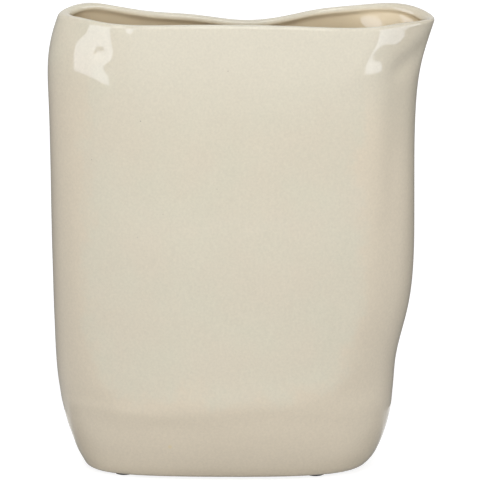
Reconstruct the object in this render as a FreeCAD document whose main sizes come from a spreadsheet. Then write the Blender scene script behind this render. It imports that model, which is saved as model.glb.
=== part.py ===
import FreeCAD, Part
import Sketcher
import os

# Pillow vase: one slip-cast, glazed body on four stick-on pads.
# Lengths are in millimetres. +X is the right of the photograph, -Y its front and +Z up.
# The pads' undersides are at z = 0. A share is a part of a named length.

sizes = {
    "vase_width": 293,
    "vase_depth": 120,
    "vase_height": 348.5,
    "wall_thickness": 6,
    "lip_thickness": 7.5,
    "lip_rounding": 2.8,
    "lip_trim": 1.2,
    "foot_ring_width": 18,
    "foot_recess": 2,
    "pad_diameter": 15,
    "pad_thickness": 1.5,
    "left_pad_reach": 88,
    "left_pad_spread": 18,
    "right_pad_reach": 56,
    "right_pad_spread": 23,
}

# Levels of the outside, each with its height as a share of vase_height, then its reach to the left and to the
# right as shares of half the width, to the front and back as a share of half the depth, and last its fullness:
# 0.55 gives an ellipse, and more a fuller corner.
outside_level_shares = (
    (0.000, 0.797, 0.620, 0.672, 0.79),
    (0.012, 0.825, 0.668, 0.731, 0.74),
    (0.026, 0.844, 0.697, 0.774, 0.70),
    (0.042, 0.863, 0.718, 0.814, 0.69),
    (0.086, 0.900, 0.758, 0.902, 0.65),
    (0.145, 0.936, 0.787, 0.973, 0.62),
    (0.190, 0.952, 0.796, 0.997, 0.60),
    (0.235, 0.962, 0.804, 1.000, 0.60),
    (0.280, 0.967, 0.823, 0.998, 0.60),
    (0.325, 0.970, 0.850, 0.994, 0.60),
    (0.370, 0.973, 0.873, 0.988, 0.60),
    (0.420, 0.975, 0.888, 0.980, 0.60),
    (0.490, 0.978, 0.896, 0.965, 0.60),
    (0.570, 0.980, 0.896, 0.939, 0.60),
    (0.730, 0.983, 0.893, 0.863, 0.60),
    (0.800, 0.986, 0.897, 0.822, 0.60),
    (0.860, 0.990, 0.908, 0.784, 0.60),
    (0.910, 0.987, 0.929, 0.748, 0.60),
    (0.955, 0.970, 0.959, 0.712, 0.60),
    (1.060, 0.893, 1.040, 0.630, 0.60),
)

# Levels of the hollow: the outside's reach at that height, drawn in by the wall or, near the mouth, by the lip.
hollow_level_shares = (
    (0.020, 0.790, 0.640, 0.700, 0.66),
    (0.050, 0.860, 0.718, 0.810, 0.65),
    (0.086, 0.898, 0.756, 0.898, 0.64),
    (0.145, 0.936, 0.787, 0.973, 0.62),
    (0.235, 0.962, 0.804, 1.000, 0.60),
    (0.280, 0.967, 0.823, 0.998, 0.60),
    (0.325, 0.970, 0.850, 0.994, 0.60),
    (0.370, 0.973, 0.873, 0.988, 0.60),
    (0.420, 0.975, 0.888, 0.980, 0.60),
    (0.490, 0.978, 0.896, 0.965, 0.60),
    (0.570, 0.980, 0.896, 0.939, 0.60),
    (0.650, 0.981, 0.894, 0.904, 0.60),
    (0.730, 0.983, 0.893, 0.863, 0.60),
    (0.800, 0.986, 0.897, 0.822, 0.60),
    (0.835, 0.988, 0.903, 0.801, 0.60),
    (0.870, 0.990, 0.912, 0.777, 0.60),
)
mouth_level_shares = (
    (0.930, 0.980, 0.942, 0.732, 0.60),
    (1.060, 0.893, 1.040, 0.630, 0.60),
)

# Pulls of the lip's two lines: across as a share of half the width, and up as a share of vase_height.
front_lip_shares = (
    (-1.25, 1.006),
    (-0.80, 1.006),
    (-0.30, 1.000),
    (0.15, 1.006),
    (0.50, 0.993),
    (0.90, 0.991),
    (1.25, 0.991),
)
back_lip_shares = (
    (-1.25, 1.014),
    (-1.00, 0.998),
    (-0.86, 1.032),
    (-0.70, 1.012),
    (-0.48, 0.984),
    (-0.25, 0.982),
    (0.00, 0.961),
    (0.22, 0.973),
    (0.40, 0.995),
    (0.62, 1.007),
    (0.85, 1.033),
    (1.00, 1.003),
    (1.25, 0.958),
)
# The two lines stand this share of half the depth before and behind the middle, and what is above them is cut
# away up to this share of vase_height.
lip_line_share = 0.8
cut_top_share = 1.1
# The lip's edges are all above this share of vase_height, and its wavy ones rise and fall by more than this share
# of the trim on them.
lip_zone_share = 0.94
wave_share = 0.1

doc = FreeCAD.newDocument("pillow_vase")
sheet = doc.addObject("Spreadsheet::Sheet", "Sizes")
for row, (name, value) in enumerate(sizes.items(), start=1):
    sheet.set(f"A{row}", name)
    sheet.set(f"B{row}", str(value))
    sheet.setAlias(f"B{row}", name)
doc.recompute()


def new_body(label):
    body = doc.addObject("PartDesign::Body", label)
    body.Label = label
    return body


def new_sketch(body, name, role):
    sketch = body.newObject("Sketcher::SketchObject", name)
    plane = next(item for item in body.Origin.OriginFeatures if item.Role == role)
    sketch.AttachmentSupport = [(plane, "")]
    sketch.MapMode = "FlatFace"
    return sketch


def reach(size, share=1, inset=None):
    """Part of a size, drawn in towards the middle by another one, as a formula and as its number now."""
    formula = f"Sizes.{size} * {share}"
    now = sizes[size] * share
    if inset:
        inward = 1 if share < 0 else -1
        formula += f" + {inward} * Sizes.{inset}"
        now += inward * sizes[inset]
    return formula, now


def place(sketch, spot, direction, distance, share):
    """Hold a point at a share of a distance from the sketch's middle, or on its axis."""
    if share == 0:
        axis = -2 if direction == "X" else -1
        sketch.addConstraint(Sketcher.Constraint("PointOnObject", *spot, axis))
        return
    formula, now = distance
    held = Sketcher.Constraint(f"Distance{direction}", -1, 1, *spot, now * share)
    index = sketch.addConstraint(held)
    sketch.setExpression(f"Constraints[{index}]", f"({formula}) * {share}")


def add_spline(sketch, poles):
    """A cubic curve, and the sketch circles that stand for its poles."""
    curve = Part.BSplineCurve()
    inner_knots = len(poles) - 4
    repeats = [4] + [1] * inner_knots + [4]
    knots = list(range(inner_knots + 2))
    curve.buildFromPolesMultsKnots([FreeCAD.Vector(x, y, 0) for x, y in poles], repeats, knots, False, 3)
    index = sketch.addGeometry(curve, False)
    sketch.exposeInternalGeometry(index)
    added = range(index + 1, sketch.GeometryCount)
    circles = [i for i in added if sketch.GeometryFacadeList[i].InternalType == "BSplineControlPoint"]
    return index, circles


def join(sketch, curves):
    """Tie each curve's end to the start of the next one, round a closed outline."""
    for curve, following in zip(curves, curves[1:] + curves[:1]):
        sketch.addConstraint(Sketcher.Constraint("Coincident", curve, 2, following, 1))


def oval(body, name, level, inset=None):
    """A level outline of four quarter curves, which leave each axis square to it."""
    height, left, right, depth, fullness = level
    sketch = new_sketch(body, name, "XY_Plane")
    sketch.setExpression(".AttachmentOffset.Base.z", reach("vase_height", height)[0])
    east = reach("vase_width", right / 2, inset)
    west = reach("vase_width", -left / 2, inset)
    north = reach("vase_depth", depth / 2, inset)
    south = reach("vase_depth", -depth / 2, inset)
    quarter = ((1, 0), (1, fullness), (fullness, 1), (0, 1))
    corners = (
        (east, north, quarter),
        (west, north, quarter[::-1]),
        (west, south, quarter),
        (east, south, quarter[::-1]),
    )
    curves = []
    for side, face, shares in corners:
        index, circles = add_spline(sketch, [(side[1] * x, face[1] * y) for x, y in shares])
        spots = ((index, 1), (circles[1], 3), (circles[2], 3))
        for spot, (x, y) in zip(spots, shares):
            place(sketch, spot, "X", side, x)
            place(sketch, spot, "Y", face, y)
        curves.append(index)
    join(sketch, curves)
    return sketch


def ovals(body, name, levels, inset=None):
    return [oval(body, f"{name}_{n}", level, inset) for n, level in enumerate(levels)]


def lip_line(body, name, shares, toward_front):
    """A wavy line across the vase, closed by straight lines above it."""
    sketch = new_sketch(body, name, "XZ_Plane")
    offset = reach("vase_depth", toward_front * lip_line_share / 2)[0]
    sketch.setExpression(".AttachmentOffset.Base.z", offset)
    across = reach("vase_width", 0.5)
    up = reach("vase_height")
    index, circles = add_spline(sketch, [(across[1] * x, up[1] * y) for x, y in shares])
    spots = [(index, 1)] + [(circle, 3) for circle in circles[1:-1]] + [(index, 2)]
    for spot, (x, y) in zip(spots, shares):
        place(sketch, spot, "X", across, x)
        place(sketch, spot, "Y", up, y)
    right_end, left_end = shares[-1][0], shares[0][0]
    corners = (shares[-1], (right_end, cut_top_share), (left_end, cut_top_share), shares[0])
    curves = [index]
    for start, end in zip(corners, corners[1:]):
        points = [FreeCAD.Vector(across[1] * x, up[1] * y, 0) for x, y in (start, end)]
        curves.append(sketch.addGeometry(Part.LineSegment(*points), False))
    join(sketch, curves)
    for line, x in zip(curves[1:3], (right_end, left_end)):
        place(sketch, (line, 2), "X", across, x)
        place(sketch, (line, 2), "Y", up, cut_top_share)
    return sketch


def banded_loft(body, name, kind, sections):
    """A solid, or a cut, in straight bands from each section to the next."""
    feature = body.newObject(f"PartDesign::{kind}Loft", name)
    feature.Profile = sections[0]
    feature.Sections = sections[1:]
    feature.Ruled = True
    doc.recompute()
    return feature


def lip_edges(shape, outside):
    """Names of the wavy edges round the outside of the lip, or round its inside."""
    lowest = sizes["vase_height"] * lip_zone_share
    lip_middle = sizes["vase_depth"] / 2 * outside_level_shares[-2][3] - sizes["lip_thickness"] / 2
    names = []
    for number, edge in enumerate(shape.Edges, start=1):
        box = edge.BoundBox
        is_long = edge.Length > sizes["vase_depth"] / 2
        is_wavy = box.ZLength > sizes["lip_trim"] * wave_share
        is_outside = max(box.YMax, -box.YMin) > lip_middle
        if box.ZMin > lowest and is_long and is_wavy and is_outside == outside:
            names.append(f"Edge{number}")
    return names


def build_vase():
    """A thin-walled vessel: bellied walls, a hollow, a wavy rounded lip and a ring to stand on."""
    body = new_body("vase_body")
    outside = ovals(body, "outside_level", outside_level_shares)
    hollow = ovals(body, "hollow_level", hollow_level_shares, "wall_thickness")
    mouth = ovals(body, "mouth_level", mouth_level_shares, "lip_thickness")
    front_line = lip_line(body, "front_lip_line", front_lip_shares, 1)
    back_line = lip_line(body, "back_lip_line", back_lip_shares, -1)
    ring_inside = oval(body, "foot_ring_inside", outside_level_shares[0], "foot_ring_width")
    doc.recompute()

    # Between levels this close, straight bands stay within about half a millimetre of a smooth skin.
    banded_loft(body, "outside_form", "Additive", outside)
    banded_loft(body, "hollow_cut", "Subtractive", hollow + mouth)
    banded_loft(body, "lip_cut", "Subtractive", [front_line, back_line])

    recess = body.newObject("PartDesign::Pocket", "foot_recess_cut")
    recess.Profile = ring_inside
    recess.Reversed = True
    recess.setExpression("Length", "Sizes.foot_recess")
    doc.recompute()

    trim = body.newObject("PartDesign::Chamfer", "lip_inside_trim")
    trim.Base = (recess, lip_edges(recess.Shape, False))
    trim.setExpression("Size", "Sizes.lip_trim")
    doc.recompute()

    rounding = body.newObject("PartDesign::Fillet", "lip_outside_rounding")
    rounding.Base = (trim, lip_edges(trim.Shape, True))
    rounding.setExpression("Radius", "Sizes.lip_rounding")
    body.setExpression("Placement.Base.z", "Sizes.pad_thickness")
    doc.recompute()
    return body


def build_pad(label, x, y):
    """A round stick-on pad."""
    body = new_body(label)
    sketch = new_sketch(body, f"{label}_outline", "XY_Plane")
    upward = FreeCAD.Vector(0, 0, 1)
    sketch.addGeometry(Part.Circle(FreeCAD.Vector(), upward, sizes["pad_diameter"] / 2), False)
    sketch.addConstraint(Sketcher.Constraint("Coincident", 0, 3, -1, 1))
    sketch.addConstraint(Sketcher.Constraint("Diameter", 0, sizes["pad_diameter"]))
    sketch.setExpression("Constraints[1]", "Sizes.pad_diameter")
    disc = body.newObject("PartDesign::Pad", f"{label}_disc")
    disc.Profile = sketch
    disc.setExpression("Length", "Sizes.pad_thickness")
    body.setExpression("Placement.Base.x", x)
    body.setExpression("Placement.Base.y", y)
    doc.recompute()
    return body


pieces = [build_vase()]
for face, outward in (("front", -1), ("back", 1)):
    for side, along in (("left", -1), ("right", 1)):
        x = f"{along} * Sizes.{side}_pad_reach"
        y = f"{outward} * Sizes.{side}_pad_spread"
        pieces.append(build_pad(f"foot_pad_{face}_{side}", x, y))
doc.recompute()

for item in doc.Objects:
    if "Invalid" in item.State or "Error" in item.State:
        raise RuntimeError(f"{item.Name} did not build: {item.State}")
for piece in pieces:
    if piece.Shape.isNull() or not piece.Shape.isValid():
        raise RuntimeError(f"{piece.Label} is not a valid solid")

os.makedirs("parts", exist_ok=True)
for piece in pieces:
    piece.Shape.exportStep(f"parts/{piece.Label}.step")
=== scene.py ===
import math

import bpy
import numpy as np
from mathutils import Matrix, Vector


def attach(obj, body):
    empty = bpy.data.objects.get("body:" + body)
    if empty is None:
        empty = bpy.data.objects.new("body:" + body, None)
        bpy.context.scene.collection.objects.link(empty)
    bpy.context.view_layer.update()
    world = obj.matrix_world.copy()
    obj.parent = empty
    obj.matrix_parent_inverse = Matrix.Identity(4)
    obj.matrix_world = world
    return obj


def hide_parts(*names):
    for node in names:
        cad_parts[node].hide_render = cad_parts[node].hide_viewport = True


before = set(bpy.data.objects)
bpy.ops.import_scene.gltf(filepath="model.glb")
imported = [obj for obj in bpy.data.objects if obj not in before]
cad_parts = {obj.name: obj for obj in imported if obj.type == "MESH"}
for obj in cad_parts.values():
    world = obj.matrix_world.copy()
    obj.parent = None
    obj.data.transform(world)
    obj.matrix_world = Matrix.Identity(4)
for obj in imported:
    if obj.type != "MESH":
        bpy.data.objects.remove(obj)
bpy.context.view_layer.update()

# Glazed pillow vase on four stick-on pads. Metres, in the frame of the CAD part:
# +X is the photo's right, -Y its front, +Z up, the pads' undersides are at z = 0.
print("frame loaded:", ", ".join(sorted(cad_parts)))

mm = 0.001


def addObject(name, data):
    thing = bpy.data.objects.new(name, data)
    bpy.context.scene.collection.objects.link(thing)
    return thing


def newMesh(name, points, faces):
    mesh = bpy.data.meshes.new(name)
    mesh.from_pydata(points, [], faces)
    mesh.update()
    return mesh


# faces between closed rings of points, ring after ring, and a cap at each end
def ringFaces(rings, count):
    faces = []
    for ring in range(rings - 1):
        low, high = ring * count, (ring + 1) * count
        for here in range(count):
            beside = (here + 1) % count
            faces.append((low + here, low + beside, high + beside, high + here))
    faces.append(tuple(range(count))[::-1])
    faces.append(tuple((rings - 1) * count + here for here in range(count)))
    return faces


# the angles of a quarter turn, both ends included
def quarterTurn(steps):
    return [math.pi / 2 * step / steps for step in range(steps + 1)]


# Camera: a long lens, looking slightly down

view = {
    "distance": 3.0,
    "elevation": 14.5,       # degrees
    "target": 0.175,         # height that the camera looks at
    "lens": 296.56,
    "sensor": 36.0,
    "frameSide": 480,        # pixels of the photo
    "shiftRight": 1.0,       # pixels from the frame's middle
    "shiftUp": -3.35,
}


def makeCamera():
    rise = math.radians(view["elevation"])
    cam = addObject("camera", bpy.data.cameras.new("camera"))
    cam.location.y = -view["distance"] * math.cos(rise)
    cam.location.z = view["target"] + view["distance"] * math.sin(rise)
    cam.rotation_euler = (math.pi / 2 - rise, 0, 0)
    cam.data.lens = view["lens"]
    cam.data.sensor_width = view["sensor"]
    cam.data.shift_x = -view["shiftRight"] / view["frameSide"]
    cam.data.shift_y = -view["shiftUp"] / view["frameSide"]
    bpy.context.scene.camera = cam
    print("camera:", view["distance"], "m away,", view["elevation"], "degrees up")


# Shape of the body

vase = {
    "halfWidth": 146.5 * mm,
    "halfDepth": 60 * mm,
    "height": 348.5 * mm,    # from the foot's underside to the lip's mean plane
    "foot": 1.5 * mm,        # height of the foot above the table, on its pads
    "wall": 6 * mm,
    "lip": 7.5 * mm,
    "leftLipMore": 2.2 * mm,     # how much thicker the lip gets at its left end,
    "leftLip": (100 * mm, 138 * mm),     # between these distances from the middle
    # share of the height, then reach to the left and right, half depth, fullness on the left and right
    "levels": [
        (0.000, 0.797, 0.620, 0.672, 0.79, 0.74),
        (0.004, 0.811, 0.642, 0.697, 0.77, 0.73),
        (0.012, 0.825, 0.668, 0.731, 0.75, 0.72),
        (0.026, 0.844, 0.697, 0.774, 0.72, 0.70),
        (0.042, 0.863, 0.718, 0.814, 0.69, 0.69),
        (0.062, 0.880, 0.739, 0.859, 0.67, 0.67),
        (0.086, 0.900, 0.758, 0.902, 0.65, 0.65),
        (0.112, 0.918, 0.774, 0.939, 0.63, 0.63),
        (0.130, 0.928, 0.782, 0.959, 0.62, 0.62),
        (0.145, 0.936, 0.787, 0.973, 0.62, 0.62),
        (0.160, 0.942, 0.790, 0.984, 0.62, 0.62),
        (0.175, 0.947, 0.793, 0.992, 0.61, 0.61),
        (0.190, 0.952, 0.796, 0.997, 0.61, 0.60),
        (0.235, 0.962, 0.804, 1.000, 0.61, 0.60),
        (0.280, 0.967, 0.823, 0.998, 0.61, 0.60),
        (0.325, 0.970, 0.850, 0.994, 0.61, 0.60),
        (0.370, 0.973, 0.873, 0.988, 0.61, 0.60),
        (0.420, 0.975, 0.888, 0.980, 0.61, 0.60),
        (0.490, 0.978, 0.896, 0.965, 0.61, 0.60),
        (0.570, 0.980, 0.896, 0.939, 0.61, 0.60),
        (0.650, 0.981, 0.894, 0.904, 0.61, 0.60),
        (0.730, 0.983, 0.893, 0.863, 0.61, 0.60),
        (0.800, 0.986, 0.897, 0.822, 0.61, 0.60),
        (0.860, 0.990, 0.908, 0.784, 0.61, 0.60),
        (0.910, 0.987, 0.929, 0.748, 0.61, 0.60),
        (0.955, 0.970, 0.959, 0.712, 0.60, 0.60),
        (1.060, 0.880, 1.040, 0.630, 0.60, 0.60),
    ],
    # the lip's line at the front and back: across and up, as pulls of a smooth curve
    "frontLip": [
        (-1.25, 1.001), (-0.80, 0.993), (-0.42, 1.004), (0.15, 1.009),
        (0.50, 0.991), (0.90, 0.980), (1.25, 0.991),
    ],
    "backLip": [
        (-1.25, 1.015), (-1.00, 1.009), (-0.86, 1.041), (-0.70, 1.015), (-0.48, 0.988),
        (-0.25, 0.985), (0.00, 0.963), (0.22, 0.975), (0.40, 0.999), (0.62, 1.011),
        (0.85, 1.035), (1.00, 1.018), (1.25, 0.951),
    ],
    "lipLineDepth": 0.8,     # where the two lines stand, as a part of the half depth
    "lipPasses": 12,         # rounds that bring the rim onto them
    "outerRound": 2.8 * mm,
    "innerRound": 4.0 * mm,
    "undercut": 2.2 * mm,    # how far the wall stands back below the bead inside the lip
    "beadEdge": (4.0 * mm, 7.5 * mm),    # depths below the rim between which it steps back,
    "wallSettles": (9 * mm, 40 * mm),    # and between which it gets its own thickness
    "floorThickness": 7 * mm,
    "floorCorner": 6 * mm,   # rounding inside, between wall and floor
    "ringWidth": 18 * mm,
    "recess": 2 * mm,
    "ringEdge": [(0.3 * mm, 0.2 * mm), (0.8 * mm, 0)],   # its inner edge is broken: across, and up
    "footRound": 2.6 * mm,
    # how fine the mesh is
    "columns": 84,           # per quarter
    "outerRows": 170,
    "innerRows": 70,
    "endsCloser": 0.08,      # the outer rows are this much closer at the foot and lip
    "lipCloser": 1.7,        # power that crowds the inner rows to the lip
    "lipSteps": 8,
    "cornerSteps": 6,
    "rimShares": (0.33, 0.67),
    "recessShares": (0.02, 0.25, 0.5, 0.75, 0.93, 0.985),
    "floorShares": (0.9, 0.7, 0.45, 0.2, 0.02),
}


# the points, with the second derivatives of the natural cubic spline through them
def smoothThrough(xs, ys):
    xs, ys = np.array(xs, float), np.array(ys, float)
    count = len(xs)
    step = np.diff(xs)
    sums = np.eye(count)
    bends = np.zeros(count)
    for i in range(1, count - 1):
        sums[i, i - 1:i + 2] = step[i - 1], 2 * (step[i - 1] + step[i]), step[i]
        bends[i] = 6 * ((ys[i + 1] - ys[i]) / step[i] - (ys[i] - ys[i - 1]) / step[i - 1])
    return xs, ys, np.linalg.solve(sums, bends)


def follow(spline, at):
    xs, ys, bend = spline
    at = np.asarray(at, float)
    i = np.clip(np.searchsorted(xs, at) - 1, 0, len(xs) - 2)
    step = xs[i + 1] - xs[i]
    p, q = (xs[i + 1] - at) / step, (at - xs[i]) / step
    curve = ((p**3 - p) * bend[i] + (q**3 - q) * bend[i + 1]) * step**2 / 6
    return p * ys[i] + q * ys[i + 1] + curve


# points along the smooth curve that the pulls shape, from the first pull to just short of the last
def pulledLine(pulls, count=400, degree=3, short=1e-9):
    pulls = np.array(pulls, float)
    spans = len(pulls) - degree
    knots = np.concatenate([[0] * degree, np.arange(spans + 1), [spans] * degree]).astype(float)
    points = []
    for place in np.linspace(0, spans - short, count):
        k = int(place) + degree
        near = [pulls[j].copy() for j in range(k - degree, k + 1)]
        for level in range(1, degree + 1):
            for j in range(degree, level - 1, -1):
                left, right = knots[j + k - degree], knots[j + 1 + k - level]
                share = (place - left) / (right - left)
                near[j] = (1 - share) * near[j - 1] + share * near[j]
        points.append(near[degree])
    return np.array(points)


levels = list(zip(*vase["levels"]))
levelSplines = [smoothThrough(levels[0], column) for column in levels[1:]]
frontLine = pulledLine(vase["frontLip"])
backLine = pulledLine(vase["backLip"])


# where the wall runs at height z: around counts quarter turns from the right tip, over the back
def outline(z, around, inset):
    share = (z - vase["foot"]) / vase["height"]
    left, right, depth, fullLeft, fullRight = [follow(s, share) for s in levelSplines]
    quarter = np.floor(around).astype(int) % 4
    t = around - np.floor(around)
    t = np.where(quarter % 2 == 0, t, 1 - t)
    onLeft = (quarter == 1) | (quarter == 2)
    atFront = quarter >= 2
    full = np.where(onLeft, fullLeft, fullRight)
    side = np.where(onLeft, left, right) * vase["halfWidth"] - inset
    face = depth * vase["halfDepth"] - inset
    x = side * ((1 - t)**3 + 3 * t * (1 - t)**2 + 3 * full * t**2 * (1 - t))
    y = face * (3 * full * t * (1 - t)**2 + 3 * t**2 * (1 - t) + t**3)
    return np.where(onLeft, -x, x), np.where(atFront, -y, y)


def lipHeight(x, y):
    across = x / vase["halfWidth"]
    front = np.interp(across, frontLine[:, 0], frontLine[:, 1])
    back = np.interp(across, backLine[:, 0], backLine[:, 1])
    share = np.clip((y / (vase["lipLineDepth"] * vase["halfDepth"]) + 1) / 2, 0, 1)
    return vase["foot"] + vase["height"] * ((1 - share) * front + share * back)


# goes softly from 0 at start to 1 at end
def ease(start, end, x):
    t = np.clip((x - start) / (end - start), 0, 1)
    return t * t * (3 - 2 * t)


# one ring of points, level or waved
def ringAt(z, inset, around):
    z = np.broadcast_to(z, around.shape)
    x, y = outline(z, around, inset)
    return np.stack([x, y, z], 1)


# rings of a flat face, as shares of the outline that the wall has at wallHeight
def faceRings(wallHeight, inset, z, shares, around):
    x, y = outline(np.full(around.shape, wallHeight), around, inset)
    return [np.stack([x * share, y * share, np.full(around.shape, z)], 1) for share in shares]


# recess, ring and rounded edge of the foot
def footRings(around):
    foot, ring, recess, edge = vase["foot"], vase["ringWidth"], vase["recess"], vase["footRound"]
    rings = faceRings(foot, ring, foot + recess, vase["recessShares"], around)
    ringForm = [(ring, recess), (ring, recess * 0.5)]
    ringForm += [(ring - across, rise) for across, rise in vase["ringEdge"]]
    ringForm.append((ring * 0.5, 0))
    rings += [ringAt(foot + rise, inset, around) for inset, rise in ringForm]
    for turn in quarterTurn(vase["cornerSteps"]):
        rings.append(ringAt(foot + edge * (1 - math.cos(turn)), edge * (1 - math.sin(turn)), around))
    return rings


# outside wall, from the foot to the start of the lip's rounding
def outsideRings(around, top):
    start = vase["foot"] + vase["footRound"]
    end = top - vase["outerRound"]
    rings = []
    for row in range(1, vase["outerRows"]):
        share = row / vase["outerRows"]
        share -= vase["endsCloser"] * math.sin(2 * math.pi * share) / (2 * math.pi)
        rings.append(ringAt(start + (end - start) * share, 0, around))
    return rings


# the lip's outer rounding and its rim
def rimRings(around, top, lip):
    outer, inner = vase["outerRound"], vase["innerRound"]
    rings = []
    for turn in quarterTurn(vase["lipSteps"]):
        rings.append(ringAt(top - outer * (1 - math.sin(turn)), outer * (1 - math.cos(turn)), around))
    for share in vase["rimShares"]:
        rings.append(ringAt(top, outer + (lip - outer - inner) * share, around))
    return rings


# the lip's inner rounding, its bead, the inside wall that stands back below it, and the floor
def insideRings(around, top, lip):
    inner, wall, corner = vase["innerRound"], vase["wall"], vase["floorCorner"]
    floor = vase["foot"] + vase["floorThickness"]
    start, end = top - inner, floor + corner
    rings = []
    for turn in quarterTurn(vase["lipSteps"]):
        rings.append(ringAt(top - inner * (1 - math.cos(turn)), lip - inner * (1 - math.sin(turn)), around))
    for row in range(1, vase["innerRows"]):
        z = start + (end - start) * (row / vase["innerRows"])**vase["lipCloser"]
        back = ease(*vase["beadEdge"], top - z) * vase["undercut"]
        settle = ease(*vase["wallSettles"], top - z) * (vase["undercut"] - lip + wall)
        rings.append(ringAt(z, lip - back + settle, around))
    for turn in quarterTurn(vase["cornerSteps"])[1:]:
        rings.append(ringAt(end - corner * math.sin(turn), wall + corner * (1 - math.cos(turn)), around))
    return rings + faceRings(end, wall + corner, floor, vase["floorShares"], around)


# Hand-made unevenness: soft dents and ridges, at (across, up) in mm, that move the wall out by their
# lift. A ridge's path holds across, up and the lift there.

frontForms = {
    "dents": [
        {"at": (3, 131), "size": (60, 50), "turn": 0, "lift": -1.0},
        {"at": (19, 54), "size": (20, 6), "turn": 5, "lift": -0.45},
        {"at": (-60, 46), "size": (16, 6), "turn": -8, "lift": -0.25},
        {"at": (104, 194), "size": (9, 8), "turn": 0, "lift": -0.35},
        {"at": (97, 121), "size": (8, 24), "turn": -20, "lift": -0.5},
        {"at": (-32, 311), "size": (18, 7), "turn": 35, "lift": 0.25},
        {"at": (80, 366), "size": (56, 46), "turn": 0, "lift": -3.0},
        {"at": (119, 352), "size": (14, 18), "turn": 0, "lift": -2.3},
        {"at": (-124, 350), "size": (11, 13), "turn": 0, "lift": -1.6},
        {"at": (-97, 317), "size": (7, 5), "turn": 0, "lift": -0.25},
        {"at": (-105, 329), "size": (5, 3.5), "turn": 0, "lift": -0.75},
        {"at": (-86.5, 351), "size": (6, 8), "turn": 0, "lift": -1.0},
    ],
    "ridges": [
        # the low rim round the front panel
        {
            "path": [
                (-126, 239, 0.2), (-125, 208, 0.4), (-124, 178, 0.5), (-122, 147, 0.6), (-118, 116, 0.7),
                (-113, 93, 0.8), (-105, 73, 0.9), (-84, 55, 1.1), (-57, 58, 1.4), (-16, 61, 1.4),
                (29, 64, 1.0), (63, 72, 1.3), (76, 81, 1.5), (84, 103, 1.5), (90, 119, 1.4), (95, 134, 1.2),
                (99, 157, 0.9), (98, 188, 0.8), (100, 218, 0.9), (101, 256, 0.9), (103, 286, 0.65),
                (104, 305, 0.5),
            ],
            "width": 12,
        },
        # ridges at the right shoulder, and two pinched valleys beside them
        {
            "path": [(76, 296, 0.1), (84, 312, 0.8), (92, 326, 0.9), (103, 338, 0.9), (110, 350, 0.9)],
            "width": 10,
        },
        {"path": [(86, 311, 0.3), (93, 313, 0.5), (100, 314, 0.4)], "width": 6},
        {"path": [(111, 307, -0.4), (118, 313, -2.2), (126, 319, -2.8), (134, 326, -2.0)], "width": 8},
        {
            "path": [(119, 318, -0.3), (117, 300, -1.3), (116, 270, -1.4), (115, 240, -1.3),
                     (114, 205, -0.8), (112, 170, -0.2)],
            "width": 10,
        },
    ],
}

# the back, which the photo doesn't show, only has the unevenness of such a casting
backForms = {
    "dents": [
        {"at": (-8, 140), "size": (58, 54), "turn": 0, "lift": -0.8},
        {"at": (34, 262), "size": (30, 22), "turn": 20, "lift": 0.4},
        {"at": (-52, 300), "size": (24, 16), "turn": -15, "lift": -0.4},
        {"at": (46, 48), "size": (22, 8), "turn": 8, "lift": -0.35},
    ],
    "ridges": [
        {
            "path": [(-122, 236, 0.2), (-121, 150, 0.5), (-110, 90, 0.6), (-70, 62, 0.7), (0, 57, 0.7),
                     (60, 68, 0.6), (84, 100, 0.6), (98, 160, 0.5), (101, 240, 0.2)],
            "width": 14,
        },
    ],
}

# a swelling of the back wall's inside, which gives the reflection in the mouth
insideForms = {
    "dents": [
        {"at": (106, 332), "size": (19, 13), "turn": 0, "lift": 6.5},
    ],
    "ridges": [],
}

# distances over which the forms come in
formFades = {
    "faces": (0, 12 * mm),       # from the middle line to the front or back
    "foot": (0, 8 * mm),         # up from the table
    "leaving": (4 * mm, 40 * mm),        # down from the rim, as the inside stops following the outside
    "swellingBack": (5 * mm, 20 * mm),   # back from the middle line
    "swellingDown": (2 * mm, 9 * mm),    # down from the rim
    "insideColour": (1.5 * mm, 6.5 * mm),    # down from the rim, for the glaze
}


# how far the wall stands out at each place, in metres
def liftAt(x, z, forms):
    x, z = x / mm, z / mm
    lift = np.zeros(x.shape)
    for dent in forms["dents"]:
        turn = math.radians(dent["turn"])
        dx, dz = x - dent["at"][0], z - dent["at"][1]
        along = (dx * math.cos(turn) + dz * math.sin(turn)) / dent["size"][0]
        across = (dz * math.cos(turn) - dx * math.sin(turn)) / dent["size"][1]
        lift += dent["lift"] * np.exp(-along**2 - across**2)
    for ridge in forms["ridges"]:
        path = np.array(ridge["path"], float)
        run = np.concatenate([[0], np.cumsum(np.hypot(*np.diff(path[:, :2], axis=0).T))])
        along = np.linspace(0, run[-1], 4 * len(path))
        px, pz, rise = [follow(smoothThrough(run, column), along) for column in path.T]
        nearest = np.full(x.shape, np.inf)
        height = np.zeros(x.shape)
        for k in range(len(along) - 1):
            dx, dz = px[k + 1] - px[k], pz[k + 1] - pz[k]
            t = np.clip(((x - px[k]) * dx + (z - pz[k]) * dz) / (dx**2 + dz**2), 0, 1)
            away = np.hypot(x - px[k] - t * dx, z - pz[k] - t * dz)
            closer = away < nearest
            nearest = np.where(closer, away, nearest)
            height = np.where(closer, rise[k] + t * (rise[k + 1] - rise[k]), height)
        lift += height * np.exp(-(nearest / ridge["width"])**2)
    return lift * mm


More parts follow.
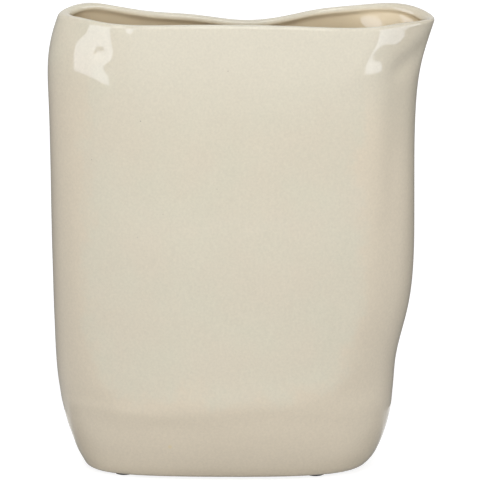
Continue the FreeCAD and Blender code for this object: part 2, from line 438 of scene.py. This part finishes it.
# moves the grid's points: the outside wall from outerStart to outerEnd, then the lip, and the inside
def addForms(grid, top, outerStart, outerEnd, innerStart):
    wall = grid[outerStart - 1:outerEnd + 1]
    along = np.roll(wall, -1, 1) - np.roll(wall, 1, 1)
    outward = np.cross(along, np.gradient(wall, axis=0))
    outward /= np.linalg.norm(outward, axis=2, keepdims=True)
    wall, outward = wall[1:-1], outward[1:-1]
    x, y, z = np.moveaxis(wall, 2, 0)
    lift = liftAt(x, z, frontForms) * ease(*formFades["faces"], -y)
    lift += liftAt(x, z, backForms) * ease(*formFades["faces"], y)
    lift *= ease(*formFades["foot"], z)
    shift = outward * lift[..., None]
    wall += shift

    # the lip goes and leans with the top of the wall, and the inside less and less
    drop = top - grid[outerEnd:, :, 2]
    lean = (shift[-1] - shift[-2]) / (wall[-1] - wall[-2])[:, 2:]
    rise = np.maximum.accumulate(grid[outerEnd:, :, 2] - wall[-1, :, 2], axis=0)
    share = 1 - ease(*formFades["leaving"], drop)
    grid[outerEnd:] += (shift[-1] + lean * rise[..., None]) * share[..., None]

    x, y, z = np.moveaxis(grid[innerStart:], 2, 0)
    swelling = liftAt(x, z, insideForms) * ease(*formFades["swellingBack"], y)
    swelling *= ease(*formFades["swellingDown"], drop[innerStart - outerEnd:])
    grid[innerStart:, :, 1] -= swelling


def buildBody():
    count = 4 * vase["columns"]
    around = np.arange(count) * 4 / count
    top = np.full(count, vase["foot"] + vase["height"])
    for _ in range(vase["lipPasses"]):
        top = lipHeight(*outline(top, around, 0))
    reachLeft = -outline(top, around, 0)[0]
    lip = vase["lip"] + vase["leftLipMore"] * ease(*vase["leftLip"], reachLeft)

    foot, outside, rim = footRings(around), outsideRings(around, top), rimRings(around, top, lip)
    grid = np.array(foot + outside + rim + insideRings(around, top, lip))
    outerEnd = len(foot) + len(outside)
    innerStart = outerEnd + len(rim)
    addForms(grid, top, len(foot), outerEnd, innerStart)

    # how far inside each point is: none on the lip, all of it below the bead
    within = np.zeros(grid.shape[:2])
    within[innerStart:] = ease(*formFades["insideColour"], top - grid[innerStart:, :, 2])

    mesh = newMesh("vase", grid.reshape(-1, 3).tolist(), ringFaces(len(grid), count))
    mesh.shade_smooth()
    mesh.attributes.new("inside", "FLOAT", "POINT").data.foreach_set("value", within.ravel())
    print("vase:", len(mesh.vertices), "points")
    return addObject("glazed_vase", mesh)


# Materials

# a socket of a node tree that can be used in sums
class Val:

    def __init__(self, tree, socket):
        self.tree = tree
        self.socket = socket

    # another output of the same node
    def also(self, name):
        return Val(self.tree, self.socket.node.outputs[name])

    def math(self, operation, other=None, swap=False):
        node = self.tree.nodes.new("ShaderNodeMath")
        node.operation = operation
        pair = [self] if other is None else [self, other]
        for slot, value in zip(node.inputs, pair[::-1] if swap else pair):
            if isinstance(value, Val):
                self.tree.links.new(value.socket, slot)
            else:
                slot.default_value = value
        return Val(self.tree, node.outputs[0])

    def __add__(self, other):
        return self.math("ADD", other)

    def __mul__(self, other):
        return self.math("MULTIPLY", other)

    def __sub__(self, other):
        return self.math("SUBTRACT", other)

    def __rsub__(self, other):
        return self.math("SUBTRACT", other, swap=True)

    __radd__ = __add__
    __rmul__ = __mul__


# the node tree of a material or the world, and short ways to add to it
class Shader:

    def __init__(self, owner):
        owner.use_nodes = True
        self.owner = owner
        self.tree = owner.node_tree
        self.tree.nodes.clear()

    # adds a node: its settings first, then its sockets' values or links, each by name,
    # with _ for a space, or by number, such as i0
    def node(self, kind, settings=None, out=0, **inputs):
        node = self.tree.nodes.new(kind)
        for name, value in (settings or {}).items():
            setattr(node, name, value)
        for name, value in inputs.items():
            slot = node.inputs[int(name[1:]) if name[1:].isdigit() else name.replace("_", " ")]
            if isinstance(value, Val):
                self.tree.links.new(value.socket, slot)
            else:
                slot.default_value = value
        if node.outputs:
            return Val(self.tree, node.outputs[out])

    def mixColour(self, factor, first, second, how="MIX"):
        first, second = [(*each[:3], 1) if isinstance(each, tuple) else each for each in (first, second)]
        settings = {"data_type": "RGBA", "blend_type": how}
        return self.node("ShaderNodeMix", settings, out=2, i0=factor, i6=first, i7=second)

    # goes from 0 at start to 1 at end
    def fade(self, value, start, end, how="SMOOTHSTEP"):
        return self.node("ShaderNodeMapRange", {"interpolation_type": how}, i0=value, i1=start, i2=end)

    def finish(self, shader, kind="Material"):
        self.node("ShaderNodeOutput" + kind, Surface=shader)
        return self.owner


glaze = {
    "cream": (0.735, 0.678, 0.545),
    "creamShare": 0.5,       # the rest of the colour drifts
    "cool": (0.722, 0.684, 0.546),
    "warm": (0.747, 0.671, 0.537),
    "drift": (0.38, 0.62),   # where the tint noise is cool and where it is warm
    "grain": 0.075,          # how far the fine grain lightens and darkens the cream
    "cloud": 0.016,
    "roughness": 0.05,
    "ior": 1.5,
    "peelStrength": 0.035,   # faint orange peel
    "peelDepth": 0.6 * mm,
    # a warmer cream at the heel and sides: all round a panel of the plain cream
    "thin": (0.761, 0.672, 0.528),
    "thinBelow": (350 * mm, 270 * mm),
    "panelAt": (-13, 206),       # middle and half size, mm
    "panelSize": (106, 142),
    "panelPower": 5.0,           # how square it is
    "panelEdge": (0.5, 1.2),     # 1 is its edge, and the warmer cream comes in between these
    "panelRagged": 2.2,          # how far the patches break that edge up
    # painted light below the lip, lighter and paler as if lit from above, but for its left end
    "paintedTopLight": (0.772, 0.720, 0.592),
    "paintedTopLightAbove": (255 * mm, 345 * mm),
    "paintedTopLightRightOf": (-115 * mm, -75 * mm),
    # painted shade on the right shoulder, which the lamps leave too light: middle, half size, and the part
    # of that with all of it
    "paintedShade": (0.655, 0.59, 0.465),
    "paintedShadeAt": (132, 316),
    "paintedShadeSize": (42, 105),
    "paintedShadeFull": 0.2,
    "paintedShadeShare": 0.85,
    # painted light: a lighter, warmer cream inside the mouth, for the light bounced round in it
    "inside": (0.83, 0.705, 0.50),
    "paintedInsideLightShare": 0.9,
    # bare foot ring
    "clay": (0.62, 0.56, 0.47),
    "clayBelow": (vase["foot"] + 0.9 * mm, vase["foot"] + 0.4 * mm),
    "clayRoughness": 0.8,
    "noises": {
        "grain": {"Scale": 560.0, "Detail": 2.0},
        "cloud": {"Scale": 38.0, "Detail": 3.0},
        "tint": {"Scale": 21.0, "Detail": 4.0, "Roughness": 0.6},
        "patches": {"Scale": 32.0, "Detail": 5.0, "Roughness": 0.65},
        "peel": {"Scale": 95.0, "Detail": 1.0},
    },
    # small specks of iron, pits drawn as dots of painted shade, and one fleck: across, up and radius in mm
    "specks": [
        {"at": (-9.6, 317.9), "radius": 0.55, "colour": (0.45, 0.39, 0.30)},
        {"at": (-74.5, 279.8), "radius": 0.6, "colour": (0.38, 0.33, 0.26)},
        {"at": (-111.3, 248.6), "radius": 0.5, "colour": (0.42, 0.37, 0.29)},
        {"at": (-58.0, 210.8), "radius": 0.5, "colour": (0.50, 0.44, 0.34)},
        {"at": (-17.8, 230.4), "radius": 0.5, "colour": (0.48, 0.42, 0.33)},
        {"at": (-77.1, 192.5), "radius": 0.7, "colour": (0.60, 0.55, 0.45)},
        {"at": (-53.7, 29.2), "radius": 2.0, "colour": (0.78, 0.66, 0.42)},
    ],
    "speckFull": 0.4,
    "speckShare": 0.8,
}


# 1 close to a place on the face and 0 past its size, in mm: full is the share of the size with all of it
def nearPlace(mat, across, up, at, size, full):
    scaled = mat.node("ShaderNodeCombineXYZ", X=across * (1 / (size[0] * mm)), Z=up * (1 / (size[1] * mm)))
    middle = (at[0] / size[0], 0, at[1] / size[1])
    away = mat.node("ShaderNodeVectorMath", {"operation": "DISTANCE"}, out="Value", i0=scaled, i1=middle)
    return mat.fade(away, 1.0, full)


def glazeMaterial():
    mat = Shader(bpy.data.materials.new("cream_glaze"))
    place = mat.node("ShaderNodeTexCoord", out="Object")
    apart = mat.node("ShaderNodeSeparateXYZ", Vector=place)
    across, deep, up = [apart.also(axis) for axis in "XYZ"]
    noise = {}
    for name, sockets in glaze["noises"].items():
        noise[name] = mat.node("ShaderNodeTexNoise", Vector=place, **sockets)

    # the cream and its drift
    hue = mat.fade(noise["tint"], *glaze["drift"], how="LINEAR")
    colour = mat.mixColour(hue, glaze["cool"], glaze["warm"])
    colour = mat.mixColour(glaze["creamShare"], colour, glaze["cream"])

    # warmer heel, then painted light below the lip and painted shade on the right shoulder
    outside = (noise["patches"] - 0.5) * glaze["panelRagged"]
    for axis, middle, half in zip((across, up), glaze["panelAt"], glaze["panelSize"]):
        reach = (axis - middle * mm) * (1 / (half * mm))
        outside = outside + reach.math("ABSOLUTE").math("POWER", glaze["panelPower"])
    thin = mat.fade(outside, *glaze["panelEdge"]) * mat.fade(up, *glaze["thinBelow"])
    colour = mat.mixColour(thin, colour, glaze["thin"])
    # painted light: the upper wall made lighter, fading out to the left
    topLightShare = mat.fade(up, *glaze["paintedTopLightAbove"]) * mat.fade(across, *glaze["paintedTopLightRightOf"], how="LINEAR")
    colour = mat.mixColour(topLightShare, colour, glaze["paintedTopLight"])
    # painted shade: the right shoulder made darker
    near = nearPlace(mat, across, up, glaze["paintedShadeAt"], glaze["paintedShadeSize"], glaze["paintedShadeFull"])
    colour = mat.mixColour(near * glaze["paintedShadeShare"], colour, glaze["paintedShade"])

    # grain and clouds, then the specks
    grain = (noise["grain"] - 0.5) * (2 * glaze["grain"])
    cloud = (noise["cloud"] - 0.5) * (2 * glaze["cloud"])
    light = 1 + grain + cloud
    shade = mat.node("ShaderNodeCombineColor", Red=light, Green=light, Blue=light)
    colour = mat.mixColour(1.0, colour, shade, "MULTIPLY")
    onFront = deep.math("LESS_THAN", 0.0)
    for speck in glaze["specks"]:
        size = (speck["radius"], speck["radius"])
        near = nearPlace(mat, across, up, speck["at"], size, glaze["speckFull"])
        colour = mat.mixColour(near * onFront * glaze["speckShare"], colour, speck["colour"])

    # inside, a lighter and warmer cream as painted light for the light bounced round the mouth, and the
    # foot ring
    within = mat.node("ShaderNodeAttribute", {"attribute_name": "inside"}, out="Fac")
    colour = mat.mixColour(within * glaze["paintedInsideLightShare"], colour, glaze["inside"])
    bare = mat.fade(up, *glaze["clayBelow"], how="LINEAR")
    colour = mat.mixColour(bare, colour, glaze["clay"])
    rough = glaze["roughness"] + bare * (glaze["clayRoughness"] - glaze["roughness"])

    peel = {"Strength": glaze["peelStrength"], "Distance": glaze["peelDepth"]}
    bump = mat.node("ShaderNodeBump", Height=noise["peel"], **peel)
    coat = {"Base_Color": colour, "Roughness": rough, "IOR": glaze["ior"], "Normal": bump}
    print("glaze:", len(glaze["noises"]), "noises,", len(glaze["specks"]), "specks")
    return mat.finish(mat.node("ShaderNodeBsdfPrincipled", **coat))


# Pads: discs whose rim is rounded below, with their flat tops under the foot

pad = {
    "radius": 7.5 * mm,
    "thickness": 1.5 * mm,
    "rim": 0.5 * mm,         # rounding of its lower edge
    "rimSteps": 6,
    "undersideShares": (0.3, 0.7),
    "topShare": 0.5,
    "around": 64,            # points round the disc
    "sharpFrom": 50,         # degrees
    "left": (89 * mm, 22 * mm),      # how far out and how far apart from the middle line
    "right": (56.5 * mm, 24.8 * mm),
    "colour": (0.02, 0.019, 0.018, 1),
    "roughness": 0.75,
}


def buildPad(name, x, y):
    around, radius, topLightShare, rim = pad["around"], pad["radius"], pad["thickness"], pad["rim"]
    profile = [(share * radius, 0) for share in pad["undersideShares"]]
    for turn in quarterTurn(pad["rimSteps"]):
        profile.append((radius - rim * (1 - math.sin(turn)), rim * (1 - math.cos(turn))))
    profile += [(radius, 0.5 * (rim + topLightShare)), (radius, topLightShare), (pad["topShare"] * radius, topLightShare)]
    points = []
    for reach, z in profile:
        for step in range(around):
            angle = 2 * math.pi * step / around
            points.append((x + reach * math.cos(angle), y + reach * math.sin(angle), z))
    mesh = newMesh(name, points, ringFaces(len(profile), around))
    mesh.shade_smooth()
    mesh.set_sharp_from_angle(angle=math.radians(pad["sharpFrom"]))
    print("pad:", name)
    return addObject("dressed_" + name, mesh)


def padMaterial():
    mat = Shader(bpy.data.materials.new("pad_rubber"))
    rubber = mat.node("ShaderNodeBsdfPrincipled", Base_Color=pad["colour"], Roughness=pad["roughness"])
    return mat.finish(rubber)


# Floor, background and lights

studio = {
    "floorSize": 30.0,
    "floorColour": 0.42,     # as it lights the object
    "floorShade": 0.35,      # its own white in the picture, which takes the shadow
    "floorGlow": 0.84,
    "surround": 0.41,        # grey that lights the object from all round
}

# azimuth and elevation in degrees, the height aimed at, and how white the lamp looks;
# the side boxes show only in the glaze, and the front and back ones only light it
sideBox = {"elevation": 16, "distance": 1.5, "size": (0.70, 1.0), "white": 3.9, "colour": (0.82, 0.88, 1.0)}
lamps = {
    "left_softbox": {**sideBox, "azimuth": -46.3, "aim": 0.3, "diffuse": False},
    "right_softbox": {**sideBox, "azimuth": 51, "aim": 0.26, "diffuse": False},
    "top_strip": {
        "azimuth": 0, "elevation": 60, "distance": 2.0, "aim": 0.35,
        "size": (1.3, 0.5), "white": 6.2,
    },
    "front_softbox": {
        "azimuth": -1, "elevation": 14, "distance": 2.0, "aim": 0.2,
        "size": (2.3, 0.7), "white": 3.70, "glossy": False,
    },
    "back_softbox": {
        "azimuth": 180, "elevation": 25, "distance": 2.2, "aim": 0.2,
        "size": (1.6, 0.7), "white": 2.2, "glossy": False,
    },
}


def addLamp(name, box):
    lamp = bpy.data.lights.new(name, "AREA")
    wide, tall = box["size"]
    lamp.shape = "RECTANGLE"
    lamp.size = wide
    lamp.size_y = tall
    lamp.energy = box["white"] * wide * tall * math.pi
    lamp.color = box.get("colour", (1, 1, 1))
    turn, rise = math.radians(box["azimuth"]), math.radians(box["elevation"])
    away = Vector((math.sin(turn) * math.cos(rise), -math.cos(turn) * math.cos(rise), math.sin(rise)))
    stand = addObject(name, lamp)
    stand.location = Vector((0, 0, box["aim"])) + away * box["distance"]
    stand.rotation_euler = away.to_track_quat("Z", "Y").to_euler()
    stand.visible_camera = False
    stand.visible_diffuse = box.get("diffuse", True)
    stand.visible_glossy = box.get("glossy", True)


def grey(level):
    return (level, level, level, 1)


# 1 for the rays that see the white room: straight, mirrored or through glass
def seesWhite(mat):
    ray = mat.node("ShaderNodeLightPath")
    return ray.also("Is Camera Ray") + ray.also("Is Glossy Ray") + ray.also("Is Transmission Ray")


def buildFloor():
    mat = Shader(bpy.data.materials.new("floor_paper"))
    plain = mat.node("ShaderNodeBsdfDiffuse", Color=grey(studio["floorColour"]))
    shown = mat.node("ShaderNodeBsdfDiffuse", Color=grey(studio["floorShade"]))
    glow = mat.node("ShaderNodeEmission", Color=grey(1), Strength=studio["floorGlow"])
    shown = mat.node("ShaderNodeAddShader", i0=shown, i1=glow)
    paper = mat.node("ShaderNodeMixShader", i0=seesWhite(mat), i1=plain, i2=shown)
    half = studio["floorSize"] / 2
    corners = [(-half, -half, 0), (half, -half, 0), (half, half, 0), (-half, half, 0)]
    floor = addObject("floor", newMesh("floor", corners, [(0, 1, 2, 3)]))
    floor.data.materials.append(mat.finish(paper))


def buildRoom():
    world = bpy.data.worlds.new("white_room")
    bpy.context.scene.world = world
    room = Shader(world)
    dim = studio["surround"]
    strength = seesWhite(room) * (1 - dim) + dim
    room.finish(room.node("ShaderNodeBackground", Color=grey(1), Strength=strength), "World")


# Dark cards, seen only in the vase's reflections, which draw its edges: one curved card behind it
# that fades out at its rim, and one on the table under the foot, painted shade for the shadow there

cards = {
    "near": 0.20,            # where the curved card starts on the table, and where it stands up
    "far": 0.75,
    "height": 0.6,
    "lift": 1 * mm,          # above the table
    "middle": 174,           # degrees round the vase
    "spread": 82,            # degrees to each side of that
    "sidePower": 3,          # how late it fades out to the sides and the top
    "topPower": 2,
    "steps": 40,
    "rises": 12,
    "footMiddle": -10 * mm,
    "footLift": 0.4 * mm,
    "footRings": [(112 * mm, 43 * mm, 0.8), (250 * mm, 56 * mm, 0.0)],   # half sizes and darkness
    "grey": 0.15,
}


def curvedCard():
    steps, rises = cards["steps"], cards["rises"]
    points, dark, faces = [], [], []
    for step in range(steps + 1):
        side = 2 * step / steps - 1
        turn = math.radians(cards["middle"] + cards["spread"] * side)
        x, y = math.sin(turn), -math.cos(turn)
        fade = 1 - abs(side)**cards["sidePower"]
        points.append((x * cards["near"], y * cards["near"], cards["lift"]))
        dark.append(fade)
        for rise in range(rises + 1):
            share = rise / rises
            points.append((x * cards["far"], y * cards["far"], cards["lift"] + cards["height"] * share))
            dark.append(fade * (1 - share**cards["topPower"]))
    column = rises + 2
    for step in range(steps):
        for row in range(column - 1):
            here = step * column + row
            faces.append((here, here + column, here + column + 1, here + 1))
    return points, dark, faces


# the card under the foot, painted shade in the glaze's reflection for the shadow on the table there: its
# points come after the first ones
def footCard(first):
    steps, x, z = cards["steps"], cards["footMiddle"], cards["footLift"]
    points, dark, faces = [(x, 0, z)], [1], []
    for reach, wide, level in cards["footRings"]:
        for step in range(steps):
            turn = 2 * math.pi * step / steps
            points.append((x + reach * math.cos(turn), wide * math.sin(turn), z))
            dark.append(level)
    for step in range(steps):
        here, beside = first + 1 + step, first + 1 + (step + 1) % steps
        faces.append((first, here, beside))
        faces.append((here, here + steps, beside + steps, beside))
    return points, dark, faces


def buildCards():
    points, dark, faces = curvedCard()
    morePoints, moreDark, moreFaces = footCard(len(points))
    mesh = newMesh("flags", points + morePoints, faces + moreFaces)
    mesh.attributes.new("dark", "FLOAT", "POINT").data.foreach_set("value", dark + moreDark)
    mat = Shader(bpy.data.materials.new("black_card"))
    darkness = mat.node("ShaderNodeAttribute", {"attribute_name": "dark"}, out="Fac")
    colour = mat.mixColour(darkness, grey(1), grey(cards["grey"]))
    mesh.materials.append(mat.finish(mat.node("ShaderNodeEmission", Color=colour, Strength=1.0)))
    flag = addObject("flags", mesh)
    flag.visible_camera = flag.visible_diffuse = flag.visible_shadow = flag.visible_transmission = False


def buildStudio():
    buildFloor()
    buildRoom()
    for name, box in lamps.items():
        addLamp(name, box)
    buildCards()
    print("studio: floor, room, cards and", len(lamps), "lamps")


makeCamera()
body = buildBody()
body.data.materials.append(glazeMaterial())
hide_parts("vase_body")
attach(body, "root")
rubber = padMaterial()
for face, outward in (("front", -1), ("back", 1)):
    for side, along in (("left", -1), ("right", 1)):
        name = f"foot_pad_{face}_{side}"
        out, apart = pad[side]
        disc = buildPad(name, along * out, outward * apart)
        disc.data.materials.append(rubber)
        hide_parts(name)
        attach(disc, "root")
buildStudio()
bpy.context.scene.view_settings.view_transform = "Standard"
